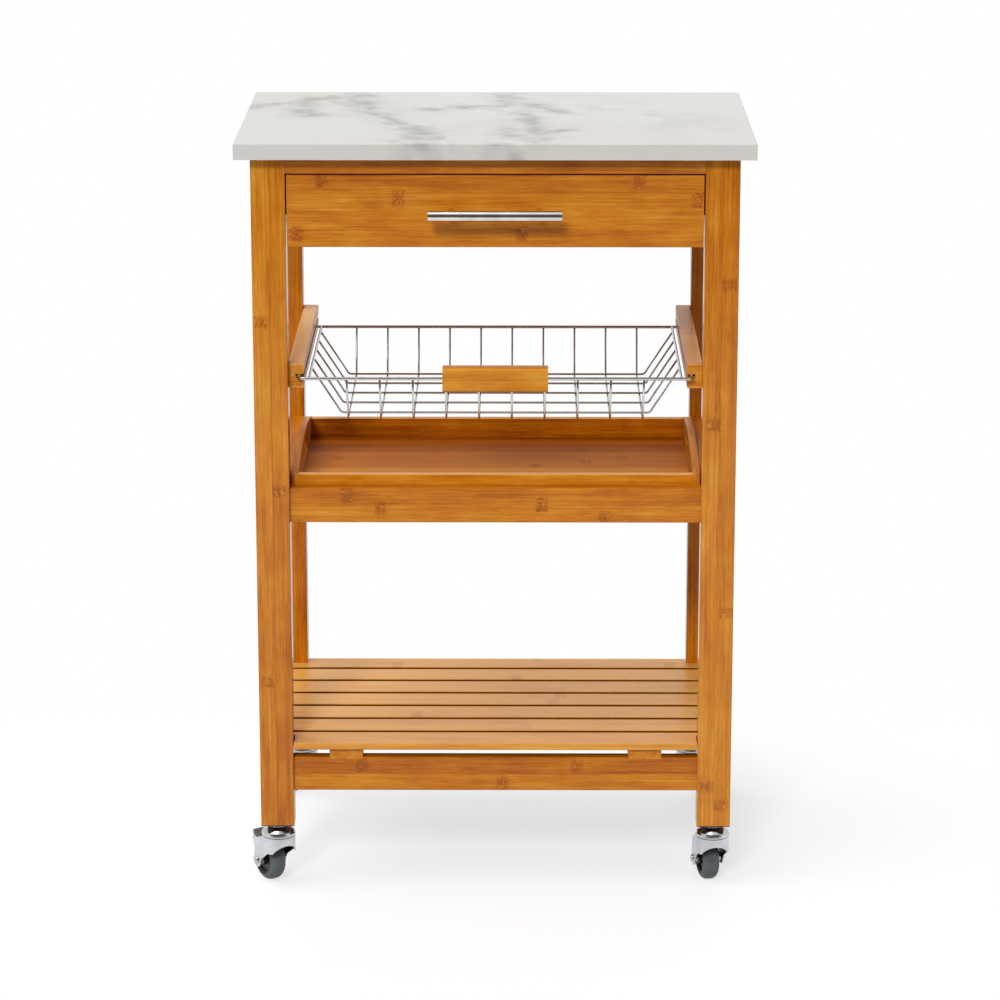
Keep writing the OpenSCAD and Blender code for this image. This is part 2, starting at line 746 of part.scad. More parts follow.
module basket_rim() color(metal) {
  for (y = [rim_y0, rim_y1]) along_x([-rim_x + rim_r, y, rim_z], 2 * (rim_x - rim_r), rim_wire);
  for (s = [LEFT, RIGHT]) {
    along_y([s * rim_x, rim_y0 + rim_r, rim_z], rim_d - 2 * rim_r, rim_wire);
    for (e = [[rim_y0 + rim_r, s < 0 ? 180 : 270], [rim_y1 - rim_r, s < 0 ? 90 : 0]])
      translate([s * (rim_x - rim_r), e[0], rim_z]) rotate([0, 0, e[1]])
        rotate_extrude(angle = 90) translate([rim_r, 0]) circle(d = rim_wire, $fn = 24);
  }
  for (s = [LEFT, RIGHT]) along_y([s * side_x, rim_y0, rim_z], rim_d, side_wire);
}

module basket_cross_wires() color(metal) for (i = [0:cross_n - 1])
  translate([(i - (cross_n - 1) / 2) * cross_pitch, 0, 0]) rotate([90, 0, 90])
    bent_wire([[rim_y0, rim_z], [cross_y0, floor_z], [cross_y1, floor_z], [rim_y1, rim_z]],
      mesh_wire, bend_cut);

module basket_long_wires() color(metal) for (i = [0:long_n - 1])
  translate([0, long_y0 + i * long_pitch, 0]) rotate([90, 0, 0])
    bent_wire([[-side_x, rim_z], [-side_x + side_slope, long_z],
      [side_x - side_slope, long_z], [side_x, rim_z]], mesh_wire, bend_cut);

module basket_grip() color(bamboo_dark) difference() {
  rail_x(rim_y0 - grip_t / 2, rim_z - grip_h / 2, grip_w, grip_t, grip_h, 4);
  along_x([-grip_w, rim_y0, rim_z], 2 * grip_w, rim_wire + 2 * fix_gap);
  for (i = [0:cross_n - 1]) translate([(i - (cross_n - 1) / 2) * cross_pitch - 2, rim_y0, 0])
    block([0, 0, 0], [4, far, rim_z + 2]);
}

// Tray

module tray_panel(grow) block([-tray_x + tray_side_t - tray_let - grow, tray_y + tray_end_t - tray_let - grow,
  tray_z + tray_floor_up - grow], [2 * (tray_x - tray_side_t + tray_let + grow),
  tray_d - 2 * (tray_end_t - tray_let - grow), tray_floor_t + 2 * grow]);

module tray_end_walls() color(bamboo) difference() {
  for (y = [tray_y, tray_y + tray_d - tray_end_t])
    rail_x(y, tray_z, 2 * (tray_x - tray_side_t), tray_end_t, tray_h);
  tray_panel(fix_gap);
}

module tray_side(side) color(bamboo) difference() {
  on_side(side) intersection() {
    block([tray_x - tray_side_t, tray_y, tray_z], [tray_side_t, tray_d, tray_h + arch_rise]);
    translate([0, tray_mid_y, arch_z]) rotate([0, 90, 0]) cylinder(h = far, r = arch_r, $fn = 96);
  }
  on_side(side) for (k = [-1, 1])
    along_x([0, tray_mid_y + k * (hole_l - hole_h) / 2, hole_z], far, hole_h);
  on_side(side) block([0, tray_mid_y - (hole_l - hole_h) / 2, hole_z - hole_h / 2],
    [far, hole_l - hole_h, hole_h]);
  tray_panel(fix_gap);
}

module tray_floor() color(bamboo_dark) tray_panel(0);

// Casters

// Side view of the fork's cheeks: local X towards the axle, local Y up
module cheek_shape() {
  polygon([[cheek_near - 1, crown_z - sheet_t], [cheek_near - 1, skirt_z], [cheek_near + 1, skirt_z],
    [trail - 12, wheel_r + 5], [trail - 6, wheel_r - 4], [trail, wheel_r - boss_r],
    [trail + 7.2, wheel_r + 3.4], [trail + 3, crown_z - boss_r], [trail - 12, crown_z - sheet_t]]);
  translate([trail, wheel_r]) circle(boss_r);
}

// Plan of one cheek: a strip from the crown's side to beyond the axle
module cheek_plan(s) polygon([[cheek_near, s * cheek_out], [cheek_far, s * (cheek_in + sheet_t)],
  [cheek_far, s * cheek_in], [cheek_near, s * (cheek_out - sheet_t)]]);

module fork(i) color(metal) at_caster(i) difference() {
  union() {
    difference() {
      translate([0, 0, skirt_z]) cylinder(h = crown_z - skirt_z, r = crown_r);
      translate([0, 0, skirt_z - 1]) cylinder(h = crown_z - skirt_z - sheet_t + 1, r = cheek_top_in);
      // Arch over the wheel, front and back
      translate([-far / 2, 0, mouth_z]) rotate([0, 90, 0]) cylinder(h = far, r = mouth_r);
      on_axle() translate([0, 0, -cheek_in]) cylinder(h = 2 * cheek_in, r = wheel_r + 2);
    }
    intersection() {
      for (s = [-1, 1]) linear_extrude(crown_z) cheek_plan(s);
      rotate([90, 0, 0]) translate([0, 0, -far / 2]) linear_extrude(far) cheek_shape();
    }
  }
  along_z([0, 0, crown_z - sheet_t - 1], sheet_t + 2, king_d + 2 * run_gap);
  on_axle() translate([0, 0, -far / 2]) cylinder(h = far, d = axle_d + 2 * fix_gap);
}

module axle(i) color(metal) at_caster(i) on_axle() {
  face = cheek_in + sheet_t + 0.4;
  translate([0, 0, -face]) cylinder(h = 2 * face, d = axle_d);
  for (s = [0, 1]) mirror([0, 0, s]) {
    translate([0, 0, face]) cylinder(h = 2, d1 = axle_d + 3, d2 = axle_d + 1.5);
    spacer_from = has_brake(i) ? arm_in + arm_t + 0.3 : hub_half + 0.3;
    difference() {
      translate([0, 0, spacer_from]) cylinder(h = cheek_in - 0.2 - spacer_from, d = axle_d + 4);
      translate([0, 0, spacer_from - 1]) cylinder(h = cheek_in, d = axle_d + 2 * run_gap);
    }
  }
}

module hub(i) color("#8b8d90") at_caster(i) on_axle() difference() {
  union() {
    translate([0, 0, -wheel_w / 2 + 1.5]) cylinder(h = wheel_w - 3, r = wheel_r - tyre_t);
    translate([0, 0, -hub_half]) cylinder(h = 2 * hub_half, d = axle_d + 8);
  }
  // Dished faces between rim and boss
  for (s = [0, 1]) mirror([0, 0, s]) translate([0, 0, wheel_w / 2 - 4]) difference() {
    cylinder(h = 10, r = wheel_r - tyre_t - 2.5);
    translate([0, 0, -1]) cylinder(h = 12, d = axle_d + 8);
  }
  translate([0, 0, -far / 2]) cylinder(h = far, d = axle_d + 2 * run_gap);
}

module tyre(i) color("#5f6469") at_caster(i) on_axle() rotate_extrude() difference() {
  union() {
    translate([0, -wheel_w / 2]) square([wheel_r - tread_r, wheel_w]);
    translate([0, -wheel_w / 2 + tread_r]) square([wheel_r, wheel_w - 2 * tread_r]);
    for (s = [-1, 1]) translate([wheel_r - tread_r, s * (wheel_w / 2 - tread_r)]) circle(tread_r);
  }
  translate([-far, -far / 2]) square([far + wheel_r - tyre_t, far]);
}

// Brake pedal: two side arms on the axle joined by a pedal behind the wheel
module brake_pedal(i) color(metal) at_caster(i) on_axle() {
  arm_out = arm_in + arm_t;
  difference() {
    union() {
      for (s = [0, 1]) mirror([0, 0, s]) translate([0, 0, arm_in - arm_boss])
        cylinder(h = arm_t + 2 * arm_boss, r = axle_d);
      rotate([0, 0, pedal_rise]) difference() {
        translate([0, -arm_w / 2, -arm_out]) cube([pedal_reach, arm_w, 2 * arm_out]);
        translate([-1, -arm_w, -arm_in]) cube([pedal_reach - 2 * arm_t + 1, 2 * arm_w, 2 * arm_in]);
      }
      rotate([0, 0, pedal_rise + pedal_tilt])
        translate([pedal_reach - arm_t, -pedal_drop, arm_boss - arm_out])
          cube([pedal_l, pedal_t, 2 * (arm_out - arm_boss)]);
    }
    translate([0, 0, -far / 2]) cylinder(h = far, d = axle_d + 2 * run_gap);
  }
}

worktop();
front_leg(LEFT);  // front_leg_left
front_leg(RIGHT);  // front_leg_right
rear_leg(LEFT);  // rear_leg_left
rear_leg(RIGHT);  // rear_leg_right
top_front_rail();
rear_apron();
side_apron(LEFT);  // side_apron_left
side_apron(RIGHT);  // side_apron_right
mid_front_rail();
mid_rear_rail();
mid_side_rail(LEFT);  // mid_side_rail_left
mid_side_rail(RIGHT);  // mid_side_rail_right
low_front_rail();
low_rear_rail();
wood_cleats();
shelf_battens();
shelf_slats();
drawer_strip(LEFT);  // drawer_strip_left
drawer_strip(RIGHT);  // drawer_strip_right
basket_runner(LEFT);  // basket_runner_left
basket_runner(RIGHT);  // basket_runner_right
rail_bolts();
barrel_nuts();
dowels();
wood_screws();
caster_cups();
drawer_face();
drawer_side(LEFT);  // drawer_side_left
drawer_side(RIGHT);  // drawer_side_right
drawer_back();
drawer_bottom();
bar_handle();
drawer_screws();
basket_rim();
basket_cross_wires();
basket_long_wires();
basket_grip();
tray_end_walls();
tray_side(LEFT);  // tray_side_left
tray_side(RIGHT);  // tray_side_right
tray_floor();
fork(0);  // fork_front_left
fork(1);  // fork_front_right
fork(2);  // fork_rear_left
fork(3);  // fork_rear_right
axle(0);  // axle_front_left
axle(1);  // axle_front_right
axle(2);  // axle_rear_left
axle(3);  // axle_rear_right
hub(0);  // hub_front_left
hub(1);  // hub_front_right
hub(2);  // hub_rear_left
hub(3);  // hub_rear_right
tyre(0);  // tyre_front_left
tyre(1);  // tyre_front_right
tyre(2);  // tyre_rear_left
tyre(3);  // tyre_rear_right
brake_pedal(0);  // brake_pedal_front_left
brake_pedal(3);  // brake_pedal_rear_right
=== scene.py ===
"""A bamboo kitchen cart: stone-look top, drawer, wire basket, lift-out tray, slatted shelf and casters."""

import math
import random

import bpy
from mathutils import Matrix, Vector


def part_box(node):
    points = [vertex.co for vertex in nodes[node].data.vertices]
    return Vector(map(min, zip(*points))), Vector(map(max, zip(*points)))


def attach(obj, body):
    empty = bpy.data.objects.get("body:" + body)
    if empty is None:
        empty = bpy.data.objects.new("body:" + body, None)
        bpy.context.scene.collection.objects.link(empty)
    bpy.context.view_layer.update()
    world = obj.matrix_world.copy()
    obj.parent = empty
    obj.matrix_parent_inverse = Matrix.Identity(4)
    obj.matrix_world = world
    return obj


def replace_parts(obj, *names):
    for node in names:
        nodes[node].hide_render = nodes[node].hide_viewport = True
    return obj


MM = 0.001

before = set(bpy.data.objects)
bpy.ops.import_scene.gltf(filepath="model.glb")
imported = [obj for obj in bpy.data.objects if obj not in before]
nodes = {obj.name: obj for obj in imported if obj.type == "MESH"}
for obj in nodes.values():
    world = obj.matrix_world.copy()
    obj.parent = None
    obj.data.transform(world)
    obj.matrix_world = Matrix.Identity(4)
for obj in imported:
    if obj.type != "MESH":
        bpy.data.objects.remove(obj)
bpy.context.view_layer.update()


# Camera: the photograph's viewpoint, fitted to the cart's edges. Angles are in degrees, the lens in mm

CAMERA_PLACE = Vector((25.2, -4173.4, 1533.5)) * MM
CAMERA_DOWN = 14.949
CAMERA_TURN = 0.285
CAMERA_LENS = 133.9
SENSOR = 36.0
CLIP_NEAR = 0.1
CLIP_FAR = 100.0


def add_camera():
    data = bpy.data.cameras.new("camera")
    data.lens = CAMERA_LENS
    data.sensor_width = SENSOR
    data.clip_start = CLIP_NEAR
    data.clip_end = CLIP_FAR
    camera = bpy.data.objects.new("camera", data)
    camera.location = CAMERA_PLACE
    camera.rotation_euler = (math.radians(90.0 - CAMERA_DOWN), 0.0, math.radians(CAMERA_TURN))
    bpy.context.scene.collection.objects.link(camera)
    bpy.context.scene.camera = camera


# Node trees

def srgb(red, green, blue):
    """A colour written in screen values from 0 to 255, as the linear colour that a shader takes."""
    def linear(value):
        share = value / 255.0
        return share / 12.92 if share <= 0.04045 else ((share + 0.055) / 1.055) ** 2.4
    return (linear(red), linear(green), linear(blue), 1.0)


class Shader:
    """A material with one Principled surface, and short calls that add nodes to its tree."""

    def __init__(self, name):
        self.material = bpy.data.materials.new(name)
        self.material.use_nodes = True
        self.tree = self.material.node_tree
        self.tree.nodes.clear()
        self.surface = self.add("ShaderNodeBsdfPrincipled")
        output = self.add("ShaderNodeOutputMaterial")
        self.tree.links.new(self.surface.outputs["BSDF"], output.inputs["Surface"])
        self.place = self.add("ShaderNodeTexCoord").outputs["Object"]

    def add(self, kind, **settings):
        node = self.tree.nodes.new(kind)
        for key, value in settings.items():
            setattr(node, key, value)
        return node

    def feed(self, socket, value):
        """Puts a number, a colour or another node's output into a socket."""
        if isinstance(value, bpy.types.NodeSocket):
            self.tree.links.new(value, socket)
        else:
            socket.default_value = value

    def set(self, **values):
        """Sets the surface's own sockets, with their names written with low lines."""
        for key, value in values.items():
            self.feed(self.surface.inputs[key.replace("_", " ")], value)

    def math(self, operation, *values, clamp=False):
        node = self.add("ShaderNodeMath", operation=operation, use_clamp=clamp)
        for socket, value in zip(node.inputs, values):
            self.feed(socket, value)
        return node.outputs[0]

    def times(self, a, b):
        return self.math("MULTIPLY", a, b)

    def plus(self, a, b):
        return self.math("ADD", a, b)

    def minus(self, a, b):
        return self.math("SUBTRACT", a, b)

    def vector(self, operation, *values):
        """Vector arithmetic. The result is a vector, or a number for a dot product or a distance."""
        node = self.add("ShaderNodeVectorMath", operation=operation)
        for socket, value in zip(node.inputs, values):
            self.feed(socket, value)
        return node.outputs["Value" if operation in ("DOT_PRODUCT", "DISTANCE") else "Vector"]

    def split(self, vector):
        node = self.add("ShaderNodeSeparateXYZ")
        self.feed(node.inputs[0], vector)
        return node.outputs

    def join(self, x, y, z):
        node = self.add("ShaderNodeCombineXYZ")
        for socket, value in zip(node.inputs, (x, y, z)):
            self.feed(socket, value)
        return node.outputs[0]

    def noise(self, vector, scale=1.0, detail=2.0, roughness=0.5, distortion=0.0):
        node = self.add("ShaderNodeTexNoise")
        self.feed(node.inputs["Vector"], vector)
        node.inputs["Scale"].default_value = scale
        node.inputs["Detail"].default_value = detail
        node.inputs["Roughness"].default_value = roughness
        node.inputs["Distortion"].default_value = distortion
        return node.outputs[0]

    def dice(self, x, y, z):
        """Three random numbers that are the same wherever the three whole numbers are the same."""
        node = self.add("ShaderNodeTexWhiteNoise", noise_dimensions="3D")
        self.feed(node.inputs["Vector"], self.join(x, y, z))
        return self.split(node.outputs["Color"])

    def ease(self, value, low, high, to_low=0.0, to_high=1.0):
        """A smooth step, which is to_low up to low and to_high from high on."""
        node = self.add("ShaderNodeMapRange", interpolation_type="SMOOTHSTEP")
        for socket, number in zip(node.inputs, (value, low, high, to_low, to_high)):
            self.feed(socket, number)
        return node.outputs[0]

    def near(self, value, middle, half, soft):
        """1 where value lies within half of the middle, fading to 0 over soft."""
        gap = self.math("ABSOLUTE", self.minus(value, middle))
        return self.ease(gap, half, half + soft, 1.0, 0.0)

    def mix(self, share, a, b):
        node = self.add("ShaderNodeMix", data_type="RGBA")
        self.feed(node.inputs[0], share)
        self.feed(node.inputs[6], a)
        self.feed(node.inputs[7], b)
        return node.outputs[2]

    def ramp(self, value, stops):
        node = self.add("ShaderNodeValToRGB")
        self.feed(node.inputs[0], value)
        elements = node.color_ramp.elements
        while len(elements) < len(stops):
            elements.new(0.5)
        for element, (place, colour) in zip(elements, stops):
            element.position = place
            element.color = colour
        return node.outputs[0]

    def bump(self, height, depth, strength=1.0):
        node = self.add("ShaderNodeBump")
        node.inputs["Strength"].default_value = strength
        node.inputs["Distance"].default_value = depth
        self.feed(node.inputs["Height"], height)
        self.feed(self.surface.inputs["Normal"], node.outputs[0])


# Bamboo: strips side by side, in layers, each with its own tone, fibres and knuckles

BAMBOO_DARK = srgb(148, 74, 5)
BAMBOO_DEEP = srgb(183, 101, 10)
BAMBOO_MID = srgb(203, 125, 19)
BAMBOO_LIGHT = srgb(223, 158, 56)
# The tone at which bamboo takes each colour
BAMBOO_RAMP = ((0.05, BAMBOO_DARK), (0.34, BAMBOO_DEEP), (0.58, BAMBOO_MID), (0.95, BAMBOO_LIGHT))
STRIP = 19 * MM
LAYER = 6 * MM
# How far the tones of strips and of whole boards differ
STRIP_SPREAD = 0.26
BOARD_SPREAD = 0.08
SEAM = 0.5 * MM
SEAM_DARK = 0.12
# Bands, threads, pores and clouds: length along the grain, width across it and detail
FIBRES = (
    (210 * MM, 7.5 * MM, 2.0),
    (95 * MM, 2.6 * MM, 2.0),
    (17 * MM, 0.8 * MM, 1.0),
    (80 * MM, 30 * MM, 2.0),
)
# How much each of them changes the tone
FIBRE_WEIGHTS = (0.55, 0.65, 0.55, 0.7)
FIBRE_SLIP = 40.0
FIBRE_SWING = 3 * MM
RELIEF = 0.09 * MM

# Knuckles: how often a strip has one where no place is given, its reach along the grain and its curly marks
KNUCKLE_PITCH = 330 * MM
KNUCKLE_SHIFT = 9.0
KNUCKLE_HALF = 4 * MM
KNUCKLE_SOFT = 5 * MM
KNUCKLE_DARK = 0.16
KNUCKLE_BROWN = srgb(134, 64, 6)
CURL = 4.5 * MM
MARKS_SHOWN = 0.95
FLECKS_SHOWN = 0.45
# Knuckles that the photograph shows plainly: along the grain and across it, in mm
SPOTS = {
    "drawer_face": ((-190, 822), (-106, 803), (-217, 763), (158, 822), (222, 801), (29, 763)),
    "front_leg_left": ((664, -259), (471, -241), (248, -257)),
    "front_leg_right": ((706, 258), (548, 243), (330, 260), (123, 241), (101, 257)),
    "mid_front_rail": ((-166, 465), (-129, 450), (52, 455), (122, 439)),
    "low_front_rail": ((-152, 147), (93, 146), (8, 127)),
}

# How much lighter than the drawer's face a board is: mostly the board's own tone, while the right rear leg
# and the top front rail are darker as painted shade, of the drawer and of the slab's overhang, and the right
# runner a little darker than the left as painted shade
TONES_AND_PAINTED_SHADE = {
    "rear_leg_right": -0.16, "basket_grip": 0.14, "basket_runner_left": 0.20, "basket_runner_right": 0.16,
    "shelf_slats": 0.42, "top_front_rail": -0.12, "low_front_rail": -0.04,
}
# Painted shade: boards whose tone drifts darker where less light reaches them, the tray's rear wall and the
# rear of its floor, the left front leg towards its foot and the right one towards its top. The axis, from
# where to where along it in mm, and the change at both ends
PAINTED_SHADE_DRIFTS = {
    "tray_end_walls": ("y", 0, 10, 0.0, -0.24), "tray_floor": ("y", -40, 100, 0.02, -0.30),
    "front_leg_left": ("z", 250, 700, -0.12, 0.04), "front_leg_right": ("z", 250, 750, 0.04, -0.06),
}
# Painted highlight: how much lighter a board's top face is painted, for the light that falls on it
PAINTED_TOP_HIGHLIGHTS = {
    "basket_runner_left": 0.60, "basket_runner_right": 0.34, "shelf_slats": 0.14, "tray_end_walls": 0.65,
}
# The colour of the painted highlight on top faces
TOP_HIGHLIGHT_COLOUR = srgb(248, 196, 128)
# How strongly most boards reflect and how rough they are, then the others
LACQUER = (0.38, 0.36)
LEG_LACQUER = (0.38, 0.2)
FINISH = {
    "tray_end_walls": (0.15, 0.5), "tray_floor": (0.15, 0.55), "shelf_slats": (0.6, 0.33),
    "front_leg_left": LEG_LACQUER, "front_leg_right": LEG_LACQUER,
    "rear_leg_left": LEG_LACQUER, "rear_leg_right": LEG_LACQUER,
}
THREAD_ROUGH = 0.16
# Boards with little pattern, and how much of it they keep
PLAIN_BOARDS = ("tray_floor",)
PLAIN_SHARE = 0.4
# The legs' cut lower ends, darker end grain with painted shade, and the painted shade on the slats' long
# edges next to the gaps, which are dull there too
END_GRAIN_AND_SHADE = srgb(70, 34, 10)
GAP_SHADE_BROWN = srgb(104, 52, 8)
GAP_ROUGH = 0.5
SLAT_PITCH = 48 * MM
SLAT_GAP = 5 * MM


def knuckles(shader, name, strip, grain, across, luck):
    """1 at a board's knuckles, which lie at the places given, or else here and there along a strip."""
    if name in SPOTS:
        knuckle = 0.0
        for spot_grain, spot_across in SPOTS[name]:
            spot = shader.times(
                shader.near(grain, spot_grain * MM, KNUCKLE_HALF, KNUCKLE_SOFT),
                shader.near(across, spot_across * MM, strip / 3, strip / 6),
            )
            knuckle = shader.math("MAXIMUM", knuckle, spot)
        return knuckle
    turn = shader.plus(shader.times(grain, 1 / KNUCKLE_PITCH), shader.times(luck[0], KNUCKLE_SHIFT))
    along = shader.times(shader.minus(shader.math("FRACT", turn), 0.5), KNUCKLE_PITCH)
    shown = shader.ease(luck[1], 0.45, 0.8)
    return shader.times(shader.near(along, 0.0, KNUCKLE_HALF, KNUCKLE_SOFT), shown)


def painted_gap_shade(shader, place, face, low, high):
    """Painted shade on the slats' long edges next to the gaps: 1 there and 0 elsewhere."""
    upright = shader.ease(place[2], high.z - 1.0 * MM, high.z - 0.2 * MM, 1.0, 0.0)
    rear = shader.ease(shader.math("FRACT", shader.times(face, 1 / SLAT_PITCH)), 0.81, 0.85)
    behind_front = shader.ease(place[1], low.y + 3 * MM, low.y + 4 * MM)
    return shader.times(shader.math("MAXIMUM", upright, rear), behind_front)


def bamboo(name, low, high, axes, strip=None, start=0.0):
    """Lacquered bamboo for a board from low to high. axes names its grain, its face's width and its
    thickness. strip is the width of its strips where they don't share the face evenly, and start shifts
    them by a share of a strip."""
    chance = random.Random(name)
    grain_axis, face_axis, depth_axis = ("xyz".index(letter) for letter in axes)
    face_size = high[face_axis] - low[face_axis]
    depth_size = high[depth_axis] - low[depth_axis]
    strip = strip or face_size / max(1, round(face_size / STRIP))
    layer = depth_size / max(1, round(depth_size / LAYER))
    board = chance.randrange(1, 900) + 0.5

    shader = Shader(name)
    place = shader.split(shader.place)
    grain = place[grain_axis]
    face = shader.minus(place[face_axis], low[face_axis])
    depth = shader.minus(place[depth_axis], low[depth_axis])

    across = shader.plus(shader.times(face, 1 / strip), start)
    through = shader.plus(shader.times(depth, 1 / layer), 0.5)
    luck = shader.dice(shader.math("FLOOR", across), shader.math("FLOOR", through), board)

    knuckle = knuckles(shader, name, strip, grain, place[face_axis], luck)
    curled = shader.vector("SCALE", shader.place, (0, 0, 0), (0, 0, 0), 1 / CURL)
    curl = shader.noise(curled, 1.0, 1.5, 0.5, 1.2)
    marks = shader.near(curl, 0.5, 0.0, 0.05)
    flecks = shader.ease(curl, 0.58, 0.68)

    # Fibres run with the grain and swing aside a little at a knuckle
    slip = shader.times(luck[1], FIBRE_SLIP)
    fibre_face = shader.plus(face, shader.times(knuckle, shader.times(curl, FIBRE_SWING)))

    def fibres(length, width, detail):
        vector = shader.join(
            shader.plus(shader.times(grain, 1 / length), slip),
            shader.times(fibre_face, 1 / width),
            shader.times(depth, 1 / width),
        )
        return shader.minus(shader.noise(vector, 1.0, detail, 0.55), 0.5)

    bands, threads, pores, clouds = (fibres(*sizes) for sizes in FIBRES)
    seam = shader.ease(shader.times(shader.math("PINGPONG", across, 0.5), strip), 0.0, SEAM, 1.0, 0.0)

    # The board's tone, with painted shade on some boards
    tone = 0.5 + TONES_AND_PAINTED_SHADE.get(name, 0.0) + (chance.random() - 0.5) * BOARD_SPREAD
    tone = shader.plus(shader.times(shader.minus(luck[2], 0.5), STRIP_SPREAD), tone)
    share = PLAIN_SHARE if name in PLAIN_BOARDS else 1.0
    for pattern, weight in zip((bands, threads, pores, clouds), FIBRE_WEIGHTS):
        tone = shader.plus(tone, shader.times(pattern, weight * share))
    # Painted shade that drifts along the board
    if name in PAINTED_SHADE_DRIFTS:
        axis, drift_from, drift_to, change_from, change_to = PAINTED_SHADE_DRIFTS[name]
        along = place["xyz".index(axis)]
        tone = shader.plus(tone, shader.ease(along, drift_from * MM, drift_to * MM, change_from, change_to))
    tone = shader.minus(tone, shader.times(seam, SEAM_DARK))
    tone = shader.minus(tone, shader.times(knuckle, KNUCKLE_DARK))

    colour = shader.ramp(tone, BAMBOO_RAMP)
    colour = shader.mix(shader.times(knuckle, shader.times(marks, MARKS_SHOWN)), colour, KNUCKLE_BROWN)
    colour = shader.mix(shader.times(knuckle, shader.times(flecks, FLECKS_SHOWN)), colour, BAMBOO_LIGHT)

    gloss, rough = FINISH.get(name, LACQUER)
    # Painted highlight along the top face, where light falls
    if name in PAINTED_TOP_HIGHLIGHTS:
        top = shader.ease(place[2], high.z - 0.9 * MM, high.z - 0.3 * MM)
        colour = shader.mix(shader.times(top, PAINTED_TOP_HIGHLIGHTS[name]), colour, TOP_HIGHLIGHT_COLOUR)
    # Painted shade on the slats' edges next to the gaps, with their gloss taken away
    if name == "shelf_slats":
        edge = painted_gap_shade(shader, place, face, low, high)
        colour = shader.mix(edge, colour, GAP_SHADE_BROWN)
        gloss = shader.minus(gloss, shader.times(edge, gloss))
        rough = shader.plus(shader.times(edge, GAP_ROUGH), rough)
    # Darker end grain with painted shade at the legs' lower ends, which the caster cups reflect
    if name.startswith(("front_leg", "rear_leg")):
        foot = shader.ease(place[2], low.z + 0.5 * MM, low.z + 1.5 * MM, 1.0, 0.0)
        colour = shader.mix(foot, colour, END_GRAIN_AND_SHADE)

    shader.set(
        Base_Color=colour,
        Roughness=shader.plus(rough, shader.times(threads, THREAD_ROUGH)),
        Specular_IOR_Level=gloss,
    )
    height = shader.plus(threads, shader.times(pores, 0.8))
    height = shader.minus(height, shader.times(seam, 0.5))
    height = shader.minus(height, shader.times(knuckle, shader.times(marks, 0.6)))
    shader.bump(height, RELIEF, 0.5)
    return shader.material


# Stone look: a warm white with grey veins that wander over the top and down its front edge

STONE = srgb(210, 209, 206)
STONE_WARM = srgb(209, 205, 199)
STONE_VEIN = srgb(142, 142, 142)
# How far the veins stray from their corners, how wide they get and over what they fade
VEIN_WANDER = 46 * MM
VEIN_WIDTH = 30 * MM
VEIN_SOFT = 20 * MM
SMUDGE_REACH = 46 * MM
# How much of the vein's grey each form takes at most, and what is left of it on the upper rim
LINE_GREY = 0.32
SMUDGE_GREY = 0.52
FAINT_GREY = 0.30
HAZE_GREY = 0.22
RIM_GREY = 0.6
# Corners of the veins in mm. Where Y is less than at the slab's front, they lie on its edge, folded down
FAINT_VEINS = (
    ((95, 85), (130, 60)),
    ((170, 40), (200, 20)),
    ((235, -10), (250, -60)),
)
VEINS = (
    ((-275, 85), (-240, 110), (-210, 140), (-160, 170)),
    ((-220, 110), (-220, 20), (-195, 30)),
    ((-185, 120), (-150, 65), (-130, 20), (-105, -45), (-75, -100), (-65, -135)),
    ((-165, 165), (-150, 65)),
    ((-100, -150), (-80, -100)),
    ((-70, 65), (-50, 75), (5, 85)),
    ((5, 180), (20, 100), (50, 95), (75, 40)),
    ((30, 50), (45, -65), (50, -150)),
    ((10, -80), (20, -120), (40, -115), (75, -85)),
    ((-80, -181), (-65, -193)),
    ((12, -178), (16, -196)),
)


